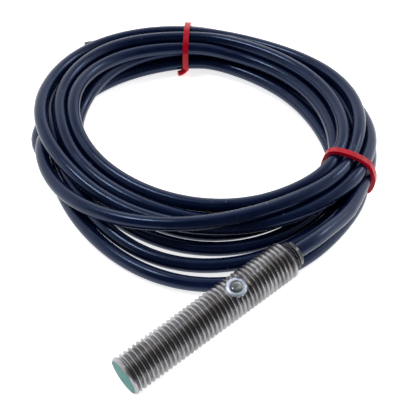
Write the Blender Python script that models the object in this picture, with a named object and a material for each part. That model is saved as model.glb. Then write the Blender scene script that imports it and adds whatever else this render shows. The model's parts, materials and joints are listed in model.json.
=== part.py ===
"""Cylindrical M8 inductive proximity sensor with its coiled connection cable.

The threaded barrel lies along +X with its sensing face towards -X.  Its front rim rests on the
surface, and its rear leans up, because the outermost turn of the cable runs underneath it.  The
origin is on the surface, below the middle of the sensor without its cable.  Units are metres.
"""
import math

import bmesh
import bpy
from mathutils import Matrix, Vector

MM = 0.001
GAP = 0.3 * MM                      # clearance that touching pieces keep

# Barrel: a thread M8 x 1 on its whole length
THREAD_R = 4.0 * MM
THREAD_DEPTH = 0.61 * MM
PITCH = 1.0 * MM
BARREL_LENGTH = 40.0 * MM
BORE_R = 3.05 * MM
MOUTH_R = 3.6 * MM                  # counterbore that takes the sensing face
MOUTH_DEPTH = 1.4 * MM
RIM_CHAMFER = 0.3 * MM
PLAIN_FRONT = 0.6 * MM              # unthreaded length before the first turn
PLAIN_REAR = 0.4 * MM
THREAD_SIDES = 28

# How the sensor lies
TILT = math.radians(5.0)
REAR_END = 42.6 * MM                # rear face of the collar, measured from the sensing face

# Status lamp, seen through a round window in the side of the barrel
LAMP_S = 26.8 * MM
LAMP_TURN = math.radians(6.0)       # from straight up, towards -Y
WINDOW_R = 1.35 * MM
WINDOW_BOTTOM = 1.3 * MM
WINDOW_TOP = 3.6 * MM               # height of the window over the barrel's axis
SPOT_FACE_R = 2.1 * MM              # flat round seat milled into the thread around the window
SPOT_FACE_HEIGHT = 3.35 * MM
DRILL_SIDES = 20

# Sensing coil
CAP_SKIRT_R = 2.8 * MM
CAP_LENGTH = 4.6 * MM
CORE_R = 2.4 * MM
POST_R = 0.75 * MM                  # middle post of the pot core
SPOOL_WALL = 0.2 * MM

# Circuit board
BOARD_START = 5.4 * MM
BOARD_END = 32.0 * MM
BOARD_WIDTH = 4.2 * MM
BOARD_THICK = 0.6 * MM
BOARD_TOP = -0.2 * MM               # height of its upper face over the barrel's axis
SLEEVE_R = 2.85 * MM
SLEEVE_WALL = 0.23 * MM
SLEEVE_END = 36.0 * MM

# Rear collar
COLLAR_R = 3.45 * MM
COLLAR_END_R = 2.6 * MM
COLLAR_START = 36.5 * MM
RIDGES = 3
RIDGE_STEP = 0.6 * MM
RIDGE_DEPTH = 0.16 * MM

# Cable and its coil
CABLE_R = 1.55 * MM
CABLE_START = 38.2 * MM             # where the jacket ends inside the collar
CORE_WIRE_R = 0.45 * MM
CORE_RING_R = 0.78 * MM             # how far the cores lie from the cable's middle
COIL_X = 51.5 * MM                  # coil centre, measured from the sensing face
COIL_Y = 42.0 * MM
COIL_INNER_R = 24.6 * MM
COIL_OUTER_R = 38.6 * MM
TIE_THICK = 0.9 * MM
TIE_WIDTH = 1.5 * MM
COIL_BOTTOM = GAP + TIE_THICK       # the ties pass below the coil
COIL_HEIGHT = 8.0 * MM
COIL_EDGE_R = 3.0 * MM
TIE_ANGLES = {"tie_rear": math.radians(57.0), "tie_near_sensor": math.radians(-58.0)}

# Route of the cable from the collar to the coil, and of its cut end: X from the sensing face, Y, Z
EXIT_ROUTE_MM = [(47.8, -0.2, 7.9), (52.1, 0.4, 7.4), (56.9, 1.3, 6.5), (61.9, 2.7, 5.7),
                 (65.4, 3.9, 5.2), (68.2, 5.0, 4.9)]
TAIL_ROUTE_MM = [(70.7, 78.0, 2.6), (66.0, 81.5, 1.9), (60.0, 85.1, 1.6), (51.0, 88.6, 1.7)]

# Materials: colour, roughness, metallic
FINISHES = {
    "nickel": ((0.62, 0.61, 0.60), 0.25, 1.0),
    "face_green": ((0.10, 0.62, 0.55), 0.45, 0.0),
    "ferrite": ((0.06, 0.06, 0.065), 0.6, 0.0),
    "bobbin": ((0.75, 0.72, 0.62), 0.5, 0.0),
    "copper_wire": ((0.72, 0.30, 0.12), 0.3, 1.0),
    "board": ((0.03, 0.22, 0.10), 0.45, 0.0),
    "chip": ((0.02, 0.02, 0.022), 0.4, 0.0),
    "capacitor": ((0.45, 0.30, 0.18), 0.5, 0.0),
    "resistor": ((0.03, 0.03, 0.05), 0.35, 0.0),
    "lamp": ((0.95, 0.75, 0.15), 0.3, 0.0),
    "window": ((0.85, 0.90, 0.95), 0.05, 0.0),
    "sleeve": ((0.12, 0.12, 0.13), 0.5, 0.0),
    "collar": ((0.015, 0.018, 0.03), 0.25, 0.0),
    "jacket": ((0.004, 0.006, 0.022), 0.28, 0.0),
    "brown": ((0.20, 0.08, 0.03), 0.4, 0.0),
    "blue": ((0.02, 0.08, 0.45), 0.4, 0.0),
    "black": ((0.01, 0.01, 0.01), 0.4, 0.0),
    "tie": ((0.62, 0.01, 0.03), 0.35, 0.0),
}


def clear_scene():
    for old in list(bpy.data.objects):
        bpy.data.objects.remove(old, do_unlink=True)


def finish(name):
    """The Principled material of one finish."""
    if name in bpy.data.materials:
        return bpy.data.materials[name]
    colour, roughness, metallic = FINISHES[name]
    made = bpy.data.materials.new(name)
    made.use_nodes = True
    shader = made.node_tree.nodes["Principled BSDF"]
    shader.inputs["Base Color"].default_value = (*colour, 1.0)
    shader.inputs["Roughness"].default_value = roughness
    shader.inputs["Metallic"].default_value = metallic
    made.diffuse_color = (*colour, 1.0)
    return made


def place(name, data, finish_name, parent=None):
    """Link new data as a named object with its finish."""
    piece = bpy.data.objects.new(name, data)
    bpy.context.scene.collection.objects.link(piece)
    data.materials.append(finish(finish_name))
    piece.parent = parent
    return piece


def mesh_from(name, bm, smooth_angle=None):
    """Turn a bmesh into mesh data, faces pointing out, round parts shaded smooth."""
    bmesh.ops.recalc_face_normals(bm, faces=bm.faces)
    mesh = bpy.data.meshes.new(name)
    bm.to_mesh(mesh)
    bm.free()
    if smooth_angle is not None:
        mesh.shade_smooth()
        mesh.set_sharp_from_angle(angle=math.radians(smooth_angle))
    return mesh


def turned(name, outline, finish_name, parent, sides=24):
    """A turned solid about local X.  outline is a closed loop of (along X, radius)."""
    bm = bmesh.new()
    rings = []
    for along, radius in outline:
        if radius <= 0.0:
            rings.append([bm.verts.new((along, 0.0, 0.0))])
            continue
        rings.append([bm.verts.new((along, radius * math.sin(math.tau * k / sides),
                                    radius * math.cos(math.tau * k / sides)))
                      for k in range(sides)])
    for here, there in zip(rings, rings[1:] + rings[:1]):
        if len(here) == 1 and len(there) == 1:
            continue
        for k in range(sides):
            j = (k + 1) % sides
            corners = [here[k % len(here)], here[j % len(here)], there[j % len(there)], there[k % len(there)]]
            unique = list(dict.fromkeys(corners))
            bm.faces.new(unique)
    return place(name, mesh_from(name, bm, 35), finish_name, parent)


def block(name, low, high, finish_name, parent, bevel=0.0):
    """A small rectangular body between two corners, its edges bevelled."""
    bm = bmesh.new()
    bmesh.ops.create_cube(bm, size=1.0)
    size = Vector(high) - Vector(low)
    middle = (Vector(high) + Vector(low)) / 2
    bmesh.ops.transform(bm, matrix=Matrix.Translation(middle) @ Matrix.Diagonal((*size, 1.0)), verts=bm.verts)
    if bevel:
        bmesh.ops.bevel(bm, geom=bm.edges[:], offset=bevel, segments=1, affect="EDGES")
    return place(name, mesh_from(name, bm), finish_name, parent)


def catmull(points, steps):
    """Points of a smooth curve through the given points."""
    pts = [Vector(p) for p in points]
    ends = [2 * pts[0] - pts[1]] + pts + [2 * pts[-1] - pts[-2]]
    smooth = []
    for before, start, stop, after in zip(ends, ends[1:], ends[2:], ends[3:]):
        for k in range(steps):
            t = k / steps
            smooth.append(0.5 * (2 * start + (stop - before) * t
                                 + (2 * before - 5 * start + 4 * stop - after) * t * t
                                 + (3 * start - before - 3 * stop + after) * t ** 3))
    return smooth + [pts[-1]]


def tube(name, points, radius, finish_name, parent=None):
    """A cord: a poly curve with a round bevel and filled caps."""
    curve = bpy.data.curves.new(name, "CURVE")
    curve.dimensions = "3D"
    spline = curve.splines.new("POLY")
    spline.points.add(len(points) - 1)
    for point, where in zip(spline.points, points):
        point.co = (*where, 1.0)
    curve.bevel_depth = radius
    curve.bevel_resolution = 2
    curve.use_fill_caps = True
    return place(name, curve, finish_name, parent)


def cutter(name, mesh, parent, matrix):
    """A body that only cuts others."""
    body = bpy.data.objects.new(name, mesh)
    bpy.context.scene.collection.objects.link(body)
    body.parent = parent
    body.matrix_local = matrix
    body.hide_render = True
    body.display_type = "WIRE"
    return body


def cut(piece, body):
    boolean = piece.modifiers.new("cut_" + body.name, "BOOLEAN")
    boolean.operation = "DIFFERENCE"
    boolean.solver = "EXACT"
    boolean.object = body


def threaded_skin(bm, start, end):
    """The helical outside of the barrel: rows follow the thread, two to each pitch.

    The groove fades out over half a pitch at both ends, where the rows close on a plain ring, so
    the thread runs out flush with the plain lands.
    """
    turns = int(round((end - start) / PITCH))
    columns = []
    for k in range(THREAD_SIDES):
        angle = math.tau * k / THREAD_SIDES
        column = []
        for row in range(-2, 2 * turns + 2):
            along = min(max(start + PITCH * (row / 2 + k / THREAD_SIDES), start), end)
            fade = min(1.0, 2 * (along - start) / PITCH, 2 * (end - along) / PITCH)
            radius = THREAD_R - (THREAD_DEPTH * fade if row % 2 else 0.0)
            column.append(bm.verts.new((along, radius * math.sin(angle), radius * math.cos(angle))))
        columns.append(column)
    last = len(columns[0]) - 1
    for k in range(THREAD_SIDES):
        here = columns[k]
        there = columns[(k + 1) % THREAD_SIDES]
        shift = 2 if k + 1 == THREAD_SIDES else 0       # a whole pitch further on after each turn
        for row in range(last):
            next_up = there[min(row + 1 + shift, last)]
            next_down = there[min(row + shift, last)]
            corners = [here[row], here[row + 1], next_up, next_down]
            unique = list(dict.fromkeys(corners))
            if len(unique) > 2:
                bm.faces.new(unique)


def make_barrel(axis):
    """Nickel-plated barrel: threaded outside, chamfered rims, stepped bore, window hole."""
    bm = bmesh.new()
    thread_start = PLAIN_FRONT
    thread_end = BARREL_LENGTH - PLAIN_REAR
    threaded_skin(bm, thread_start, thread_end)
    rim_r = THREAD_R - RIM_CHAMFER
    land = [(thread_end, THREAD_R), (BARREL_LENGTH - RIM_CHAMFER, THREAD_R), (BARREL_LENGTH, rim_r),
            (BARREL_LENGTH, BORE_R), (MOUTH_DEPTH, BORE_R), (MOUTH_DEPTH, MOUTH_R - GAP / 2),
            (0.0, MOUTH_R - GAP / 2), (0.0, rim_r), (RIM_CHAMFER, THREAD_R), (thread_start, THREAD_R)]
    rings = []
    for along, radius in land:
        rings.append([bm.verts.new((along, radius * math.sin(math.tau * k / THREAD_SIDES),
                                    radius * math.cos(math.tau * k / THREAD_SIDES)))
                      for k in range(THREAD_SIDES)])
    for here, there in zip(rings, rings[1:]):
        for k in range(THREAD_SIDES):
            j = (k + 1) % THREAD_SIDES
            bm.faces.new((here[k], here[j], there[j], there[k]))
    bmesh.ops.remove_doubles(bm, verts=bm.verts, dist=0.004 * MM)
    barrel = place("threaded_barrel", mesh_from("threaded_barrel", bm, 30), "nickel", axis)
    hole_r = WINDOW_R + GAP / 3
    clear = THREAD_R + 1.0 * MM
    drill = bmesh.new()
    rings = []
    for height, radius in ((BORE_R - 0.8 * MM, hole_r), (SPOT_FACE_HEIGHT, hole_r),
                           (SPOT_FACE_HEIGHT, SPOT_FACE_R), (clear, SPOT_FACE_R)):
        rings.append([drill.verts.new((radius * math.cos(math.tau * k / DRILL_SIDES),
                                       radius * math.sin(math.tau * k / DRILL_SIDES), height))
                      for k in range(DRILL_SIDES)])
    for here, there in zip(rings, rings[1:]):
        for k in range(DRILL_SIDES):
            j = (k + 1) % DRILL_SIDES
            drill.faces.new((here[k], here[j], there[j], there[k]))
    drill.faces.new(rings[0][::-1])
    drill.faces.new(rings[-1])
    cut(barrel, cutter("window_drill", mesh_from("window_drill", drill), axis, lamp_frame()))
    return barrel


def lamp_frame():
    """Local frame at the lamp: Z points out of the window."""
    return Matrix.Translation((LAMP_S, 0, 0)) @ Matrix.Rotation(LAMP_TURN, 4, "X")


def make_sensing_head(axis):
    """Green cap at the front, and the pot core with its wound bobbin behind it."""
    face_r = MOUTH_R - GAP / 2 - GAP
    skirt_in = CAP_SKIRT_R - 0.2 * MM
    floor = 0.9 * MM
    turned("sensing_face", [(0.0, 0.0), (0.0, face_r - 0.1 * MM), (0.1 * MM, face_r),
                            (MOUTH_DEPTH - GAP, face_r), (MOUTH_DEPTH - GAP, CAP_SKIRT_R),
                            (CAP_LENGTH, CAP_SKIRT_R), (CAP_LENGTH, skirt_in), (floor, skirt_in),
                            (floor, 0.0)], "face_green", axis)
    front = floor + 0.2 * MM
    back = front + 2.3 * MM
    shell = back - 0.5 * MM
    turned("ferrite_core", [(front, 0.0), (front, POST_R), (shell, POST_R), (shell, CORE_R - GAP),
                            (front, CORE_R - GAP), (front, CORE_R), (back, CORE_R), (back, 0.0)],
           "ferrite", axis)
    spool = front + 0.1 * MM
    end = back - 0.7 * MM
    inner = POST_R + SPOOL_WALL
    hub = inner + 0.17 * MM
    flange = CORE_R - 0.5 * MM
    turned("coil_bobbin", [(spool, inner), (spool, flange), (spool + SPOOL_WALL, flange),
                           (spool + SPOOL_WALL, hub), (end - SPOOL_WALL, hub),
                           (end - SPOOL_WALL, flange), (end, flange), (end, inner)], "bobbin", axis)
    side = SPOOL_WALL + 0.12 * MM
    turned("coil_winding", [(spool + side, hub + 0.12 * MM), (spool + side, flange - 0.1 * MM),
                            (end - side, flange - 0.1 * MM), (end - side, hub + 0.12 * MM)],
           "copper_wire", axis)


def make_board(axis):
    """Circuit board with the oscillator, the output stage, its protection and the status lamp."""
    top = BOARD_TOP
    bottom = BOARD_TOP - BOARD_THICK
    half = BOARD_WIDTH / 2
    block("circuit_board", (BOARD_START, -half, bottom), (BOARD_END, half, top), "board", axis)
    # name, middle along the barrel, middle across, length, width, height, finish, side of the board
    chips = [("oscillator_chip", 10.5, 0.0, 3.6, 2.2, 1.0, "chip", 1),
             ("output_transistor", 18.0, 0.3, 2.6, 1.4, 0.9, "chip", 1),
             ("reverse_diode", 22.2, -0.7, 1.8, 1.0, 0.8, "chip", 1),
             ("surge_diode", 21.0, 0.0, 2.4, 1.5, 0.9, "chip", -1),
             ("oscillator_capacitor", 7.2, 0.0, 1.0, 1.6, 0.7, "capacitor", 1),
             ("filter_capacitor", 14.4, -0.9, 1.6, 0.8, 0.8, "capacitor", 1),
             ("supply_capacitor", 16.0, 0.0, 2.0, 1.3, 1.0, "capacitor", -1),
             ("gain_resistor", 14.4, 0.9, 1.6, 0.8, 0.5, "resistor", 1),
             ("trim_resistor", 9.0, 0.0, 1.6, 0.8, 0.5, "resistor", -1),
             ("lamp_resistor", 22.2, 0.9, 1.6, 0.8, 0.5, "resistor", 1)]
    for name, along, across, length, width, height, look, side in chips:
        near = top + GAP / 2 if side > 0 else bottom - GAP / 2
        far = near + side * height * MM
        block(name, ((along - length / 2) * MM, (across - width / 2) * MM, min(near, far)),
              ((along + length / 2) * MM, (across + width / 2) * MM, max(near, far)), look, axis, 0.08 * MM)
    lamp_low = top + GAP / 2
    block("status_lamp", (LAMP_S - 0.8 * MM, -0.5 * MM, lamp_low),
          (LAMP_S + 0.8 * MM, 0.5 * MM, lamp_low + 0.7 * MM), "lamp", axis, 0.06 * MM)


def make_window(axis):
    """Clear plug in the side of the barrel that carries the lamp's light out."""
    radius = WINDOW_R - GAP
    shoulder = WINDOW_TOP - 0.25 * MM
    window = turned("lamp_window", [(WINDOW_BOTTOM, 0.0), (WINDOW_BOTTOM, radius), (shoulder, radius),
                                    (WINDOW_TOP - 0.05 * MM, radius - 0.2 * MM), (WINDOW_TOP, 0.0)],
                    "window", axis, 20)
    window.matrix_local = lamp_frame() @ Matrix.Rotation(-math.pi / 2, 4, "Y")


def make_sleeve(axis):
    """Thin insulating tube around the board, holed for the window."""
    inner = SLEEVE_R - SLEEVE_WALL
    start = CAP_LENGTH + GAP
    sleeve = turned("insulating_sleeve", [(start, inner), (start, SLEEVE_R), (SLEEVE_END, SLEEVE_R),
                                          (SLEEVE_END, inner)], "sleeve", axis)
    hole = bmesh.new()
    bmesh.ops.create_cone(hole, cap_ends=True, segments=16, radius1=WINDOW_R, radius2=WINDOW_R,
                          depth=2.4 * MM)
    bmesh.ops.translate(hole, vec=(0, 0, SLEEVE_R), verts=hole.verts)
    cut(sleeve, cutter("sleeve_drill", mesh_from("sleeve_drill", hole), axis, lamp_frame()))


def make_rear_end(axis):
    """Collar that closes the barrel's rear and holds the cable."""
    plug_r = BORE_R - GAP
    hole_r = CABLE_R + GAP
    flange = BARREL_LENGTH + GAP
    outline = [(COLLAR_START, hole_r), (COLLAR_START, plug_r), (flange, plug_r), (flange, COLLAR_R)]
    for k in range(RIDGES):
        crest = COLLAR_R - RIDGE_DEPTH * k
        left = flange + 0.15 * MM + RIDGE_STEP * k
        outline += [(left + 0.32 * MM, crest), (left + 0.42 * MM, crest - RIDGE_DEPTH),
                    (left + 0.58 * MM, crest - RIDGE_DEPTH)]
    outline += [(REAR_END - 0.1 * MM, COLLAR_END_R + 0.15 * MM), (REAR_END, COLLAR_END_R), (REAR_END, hole_r)]
    turned("rear_collar", outline, "collar", axis)


def wire_route(side, pad_y):
    """From its place in the cable's end to its pad on the underside of the board."""
    angle = math.radians(side)
    y = CORE_RING_R * math.sin(angle)
    z = CORE_RING_R * math.cos(angle)
    under = BOARD_TOP - BOARD_THICK - GAP - CORE_WIRE_R
    return catmull([(37.6 * MM, y, z), (36.4 * MM, y, z), (34.4 * MM, (y + pad_y) / 2, (z + under) / 2),
                    (32.4 * MM, pad_y, under), (29.5 * MM, pad_y, under)], 3)


def make_wires(axis):
    """Three insulated cores between the cable and the board."""
    for name, side, pad_y in (("brown_wire", 60.0, 1.3 * MM), ("blue_wire", -60.0, -1.3 * MM),
                              ("black_wire", 180.0, 0.0)):
        tube(name, wire_route(side, pad_y), CORE_WIRE_R, name.split("_")[0], axis)


def rounded_loop(half_width, half_height, corner, steps=3):
    """A rectangle with round corners, anticlockwise, about the origin."""
    loop = []
    for quarter, (sx, sy) in enumerate(((1, 1), (-1, 1), (-1, -1), (1, -1))):
        for k in range(steps + 1):
            angle = math.pi / 2 * (quarter + k / steps)
            loop.append((sx * (half_width - corner) + corner * math.cos(angle),
                         sy * (half_height - corner) + corner * math.sin(angle)))
    return loop


def coil_section():
    """Middle radius and middle height, half width and half height of the coil's section."""
    return ((COIL_INNER_R + COIL_OUTER_R) / 2, COIL_BOTTOM + COIL_HEIGHT / 2,
            (COIL_OUTER_R - COIL_INNER_R) / 2, COIL_HEIGHT / 2)


def make_coil(coil_frame):
    """The wound cable, as one ring of its outer shape."""
    middle_r, middle_z, half_width, half_height = coil_section()
    loop = rounded_loop(half_width, half_height, COIL_EDGE_R)
    sides = 60
    bm = bmesh.new()
    rings = []
    for k in range(sides):
        angle = math.tau * k / sides
        rings.append([bm.verts.new(((middle_r + u) * math.cos(angle), (middle_r + u) * math.sin(angle),
                                    middle_z + v)) for u, v in loop])
    for here, there in zip(rings, rings[1:] + rings[:1]):
        for i in range(len(loop)):
            j = (i + 1) % len(loop)
            bm.faces.new((here[i], there[i], there[j], here[j]))
    place("cable_coil", mesh_from("cable_coil", bm, 40), "jacket", coil_frame)


def make_ties(coil_frame):
    """Flat bands around the coil's section."""
    middle_r, middle_z, half_width, half_height = coil_section()
    for name, angle in TIE_ANGLES.items():
        inner = rounded_loop(half_width + GAP, half_height + GAP, COIL_EDGE_R + GAP)
        outer = rounded_loop(half_width + GAP + TIE_THICK, half_height + GAP + TIE_THICK,
                             COIL_EDGE_R + GAP + TIE_THICK)
        bm = bmesh.new()
        rows = []
        for loop, side in ((inner, -1), (outer, -1), (outer, 1), (inner, 1)):
            rows.append([bm.verts.new((middle_r + u, side * TIE_WIDTH / 2, middle_z + v)) for u, v in loop])
        for here, there in zip(rows, rows[1:] + rows[:1]):
            for i in range(len(inner)):
                j = (i + 1) % len(inner)
                bm.faces.new((here[i], here[j], there[j], there[i]))
        tie = place(name, mesh_from(name, bm, 30), "tie", coil_frame)
        tie.matrix_local = Matrix.Rotation(angle, 4, "Z")


def make_free_cable(face_x, exit_height):
    """The stretches of cable outside the coil, in the object's own frame."""
    def shifted(route):
        return [Vector((face_x + x * MM, y * MM, z * MM)) for x, y, z in route]

    direction = Vector((math.cos(TILT), 0.0, math.sin(TILT)))
    root = Vector((face_x, 0.0, exit_height))
    inside = root + direction * CABLE_START
    mouth = root + direction * REAR_END
    route = [inside, mouth] + shifted(EXIT_ROUTE_MM)
    tube("cable_exit", catmull(route, 2), CABLE_R, "jacket")
    tube("cable_tail", catmull(shifted(TAIL_ROUTE_MM), 2), CABLE_R, "jacket")


def main():
    clear_scene()
    reach_front = (THREAD_R - RIM_CHAMFER) * math.sin(TILT)
    reach_rear = REAR_END * math.cos(TILT) + COLLAR_END_R * math.sin(TILT)
    face_x = -(reach_rear - reach_front) / 2
    face_z = THREAD_R * math.cos(TILT) - RIM_CHAMFER * math.sin(TILT)

    axis = bpy.data.objects.new("sensor_axis", None)
    bpy.context.scene.collection.objects.link(axis)
    axis.location = (face_x, 0.0, face_z)
    axis.rotation_euler = (0.0, -TILT, 0.0)
    coil_frame = bpy.data.objects.new("coil_frame", None)
    bpy.context.scene.collection.objects.link(coil_frame)
    coil_frame.location = (face_x + COIL_X, COIL_Y, 0.0)

    make_barrel(axis)
    make_sensing_head(axis)
    make_board(axis)
    make_window(axis)
    make_sleeve(axis)
    make_rear_end(axis)
    make_wires(axis)
    make_coil(coil_frame)
    make_ties(coil_frame)
    make_free_cable(face_x, face_z)
    bpy.context.view_layer.update()


main()
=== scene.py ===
"""Visual model of an M8 inductive proximity sensor with its coiled connection cable.

The barrel lies along +X and rises a little towards its rear, with the sensing face towards -X.
The cable leaves its rear end and is wound into a flat coil, which two ties hold.  Lengths are in
metres, unless a name or its comment says mm.
"""

import json
import math

import bmesh
import bpy
import numpy as np
from mathutils import Matrix, Vector


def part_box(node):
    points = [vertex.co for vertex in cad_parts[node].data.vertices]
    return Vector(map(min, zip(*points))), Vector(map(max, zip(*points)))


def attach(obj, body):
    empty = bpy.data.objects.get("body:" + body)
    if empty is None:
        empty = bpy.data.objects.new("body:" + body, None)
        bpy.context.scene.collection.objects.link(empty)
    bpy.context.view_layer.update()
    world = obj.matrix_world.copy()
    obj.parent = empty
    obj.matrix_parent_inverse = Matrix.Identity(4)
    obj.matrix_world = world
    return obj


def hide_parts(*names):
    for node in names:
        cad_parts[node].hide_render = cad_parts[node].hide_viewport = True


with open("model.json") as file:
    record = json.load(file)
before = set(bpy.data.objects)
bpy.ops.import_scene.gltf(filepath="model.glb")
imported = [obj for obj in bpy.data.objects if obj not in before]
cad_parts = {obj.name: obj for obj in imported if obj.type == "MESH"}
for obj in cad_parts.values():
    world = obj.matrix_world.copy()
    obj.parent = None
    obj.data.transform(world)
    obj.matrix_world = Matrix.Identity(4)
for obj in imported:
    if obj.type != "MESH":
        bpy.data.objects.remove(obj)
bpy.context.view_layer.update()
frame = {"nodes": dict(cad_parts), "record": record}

MM = 0.001

# Where the sensor lies: the face's middle, and the direction from the face to the rear
MOUNT = next(m for m in frame["record"]["mounts"] if m["name"] == "sensing_face")
FACE = Vector(MOUNT["pos_m"])
AXIS = -Vector(MOUNT["axis"]).normalized()

# Barrel: places along it are measured from the face, radii and heights from its axis
THREAD_R = 4.0 * MM
THREAD_DEPTH = 0.61 * MM
PITCH = 1.0 * MM
BARREL_LENGTH = 40.0 * MM
BORE_R = 3.05 * MM
MOUTH_R = 3.5 * MM
MOUTH_DEPTH = 1.4 * MM
RIM_CHAMFER = 0.3 * MM
PLAIN_FRONT = 0.6 * MM
PLAIN_REAR = 0.4 * MM
THREAD_SIDES = 120
# One pitch of the thread: place in pitches, depth as a share of the whole depth
THREAD_SHAPE = [(-0.11, 0.10), (-0.04, 0.0), (0.04, 0.0), (0.11, 0.10), (0.36, 0.90), (0.44, 1.0),
                (0.56, 1.0), (0.64, 0.90)]

# Face cap: a disc with a thin skirt that reaches into the bore
FACE_R = 3.48 * MM
FACE_EDGE = 0.12 * MM
FACE_WALL = 0.9 * MM
SKIRT_R = 2.8 * MM
SKIRT_BORE_R = 2.6 * MM
SKIRT_END = 4.6 * MM

# Lamp window: a clear plug in a hole, with a ring around it that stands in a flat round seat
LAMP_S = 27.0 * MM
LAMP_TURN = math.radians(6.0)
LENS_R = 1.28 * MM
LENS_BOTTOM = 1.4 * MM
LENS_TOP = 3.64 * MM
LENS_RISE = 0.35 * MM
SEAT_R = 2.15 * MM
SEAT_HEIGHT = 2.75 * MM
RIM_HEIGHT = 3.5 * MM

# Collar: a plug in the bore, then ribs that get smaller towards the rear
PLUG_START = 36.5 * MM
PLUG_GAP = 0.1 * MM
REAR_END = 42.6 * MM
CABLE_GAP = 0.05 * MM
RIB_COUNT = 3
RIB_R = 3.45 * MM
RIB_START = 0.12 * MM
RIB_PITCH = 0.62 * MM
RIB_WIDTH = 0.34 * MM
RIB_SWELL = 0.16 * MM
RIB_TAPER = 0.18 * MM
GROOVE_PLACE = 0.5 * MM
GROOVE_DEPTH = 0.06 * MM
NOSE_R = 2.75 * MM
NOSE_END_R = 2.58 * MM
NOSE_CHAMFER = 0.15 * MM

# Cable
CABLE_R = 1.55 * MM
CABLE_SIDES = 24
CABLE_ROW = 1.2 * MM
CABLE_START_MM = 38.2
# The stretches that aren't coiled: X from the face's middle, Y and height
EXIT_ROUTE_MM = [(47.8, -0.2, 7.9), (52.1, 0.4, 7.4), (56.9, 1.3, 6.5), (61.9, 2.7, 5.7),
                 (65.4, 3.9, 5.2), (68.2, 5.0, 4.9)]
TAIL_ROUTE_MM = [(66.0, 81.5, 1.9), (60.0, 85.1, 1.6), (51.0, 88.6, 1.7)]

# How the coil is wound: radius and height of the cable's middle at twelve clock positions a turn,
# anticlockwise in degrees from the tie near the sensor.  settle() then lets the turns rest on each
# other.
FIRST_CLOCK = -60.0
CLOCK_STEP = 30.0
TURNS_MM = [
    [(40.5, 5.0), (39.2, 1.8), (39.0, 1.6), (37.8, 1.6), (37.8, 2.5), (40.8, 1.6),
     (38.8, 4.2), (33.0, 4.3), (31.4, 1.6), (38.6, 1.6), (37.4, 1.6), (37.2, 1.6)],
    [(36.0, 2.7), (33.0, 1.8), (31.0, 1.6), (31.5, 1.6), (32.4, 2.5), (35.2, 1.6),
     (35.8, 1.6), (31.4, 1.6), (32.4, 1.6), (40.6, 1.6), (43.6, 1.6), (41.2, 1.6)],
    [(39.0, 2.7), (36.0, 1.8), (36.4, 1.6), (36.0, 1.6), (35.0, 2.5), (38.2, 1.6),
     (36.8, 4.4), (31.8, 1.6), (28.0, 1.6), (32.6, 1.6), (34.2, 1.6), (34.4, 1.6)],
    [(34.5, 5.5), (34.0, 4.6), (32.0, 4.3), (33.2, 1.6), (36.0, 5.2), (36.0, 4.5),
     (34.4, 5.0), (31.2, 4.3), (25.4, 1.6), (27.2, 1.6), (31.8, 3.0), (31.4, 4.0)],
    [(37.5, 5.4), (36.0, 5.9), (34.5, 4.4), (29.4, 4.3), (33.0, 5.3), (33.4, 4.5),
     (33.0, 1.6), (31.2, 1.6), (23.2, 1.6), (21.5, 1.6), (22.3, 1.6), (28.4, 2.4)],
    [(31.9, 5.4), (31.0, 5.9), (30.0, 6.8), (32.6, 4.3), (30.2, 5.5), (33.8, 6.8),
     (33.8, 7.4), (29.8, 6.4), (23.4, 4.5), (22.4, 4.6), (24.2, 4.5), (29.3, 4.9)],
    [(33.0, 8.1), (34.0, 8.3), (32.6, 7.3), (29.6, 7.0), (32.6, 8.0), (37.2, 7.8),
     (35.8, 8.0), (32.0, 7.7), (27.5, 4.8), (27.0, 4.6), (26.8, 1.6), (30.2, 2.8)],
    [(33.0, 2.7), (30.5, 2.8), (29.2, 1.7), (29.3, 1.6), (29.8, 2.7), (32.8, 1.6),
     (34.2, 2.8), (35.8, 4.7), (36.4, 4.7), (32.6, 7.0), (30.2, 7.2), (32.0, 7.2)],
    [(36.5, 8.1), (38.0, 8.2), (35.6, 4.9), (31.8, 7.0), (35.9, 7.8), (41.3, 6.2),
     (39.4, 6.8), (34.6, 6.9), (30.8, 4.9), (27.5, 1.6), (28.5, 4.0), (34.0, 4.8)],
    [(39.5, 8.1), (39.2, 5.0), (36.2, 4.6), (35.2, 4.4), (41.0, 2.4)],
]
STEPS_PER_CLOCK = 8

# How the turns settle, as a line of points this far apart, of which both ends stay on their route
LINE_GAP = 1.9 * MM
FIXED_START = 25.0 * MM
FIXED_END = 14.0 * MM
SETTLE_ROUNDS = 600
# Each round looks for touching turns among the pairs that the last search found close
SEARCH_EVERY = 6
SEARCH_MARGIN = 1.5 * MM
PUSH = 1.2
SENSOR_GAP = 0.1 * MM
# The pull back to the plan, which fades out by this share of the rounds
HOLD_START = 0.18
HOLD_UNTIL = 0.95
# Smoothing: (points to the neighbour, strength); the wide kind stops at this share of the rounds
WIDE_SMOOTHING = [(8, 0.045), (4, 0.12)]
WIDE_UNTIL = 0.93
CLOSE_SMOOTHING = [(2, 0.16), (1, 0.16)]
# A tie's hold on its turns, which fades over the outer part of its reach along the cable
TIE_GRIP = 0.4
TIE_REACH = 7.0 * MM
TIE_FADE = 5.0 * MM

# Ties.  Room for the cable's middle inside each: smallest and largest radius, greatest height
TIE_ROOM_MM = {"tie_rear": (29.3, 40.5, 8.0), "tie_near_sensor": (31.9, 39.6, 8.3)}
TIE_ANGLES = {"tie_rear": math.radians(56.0), "tie_near_sensor": math.radians(-60.0)}
TIE_SLANTS = {"tie_rear": math.radians(-8.0), "tie_near_sensor": 0.0}
TIE_THICK = 0.9 * MM
TIE_WIDTH = 1.4 * MM
TIE_GAP = 0.12 * MM
TIE_FLOOR_GAP = 0.02 * MM
TIE_HALF_SPAN = 12.0 * MM
TIE_POINTS = 72
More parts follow.
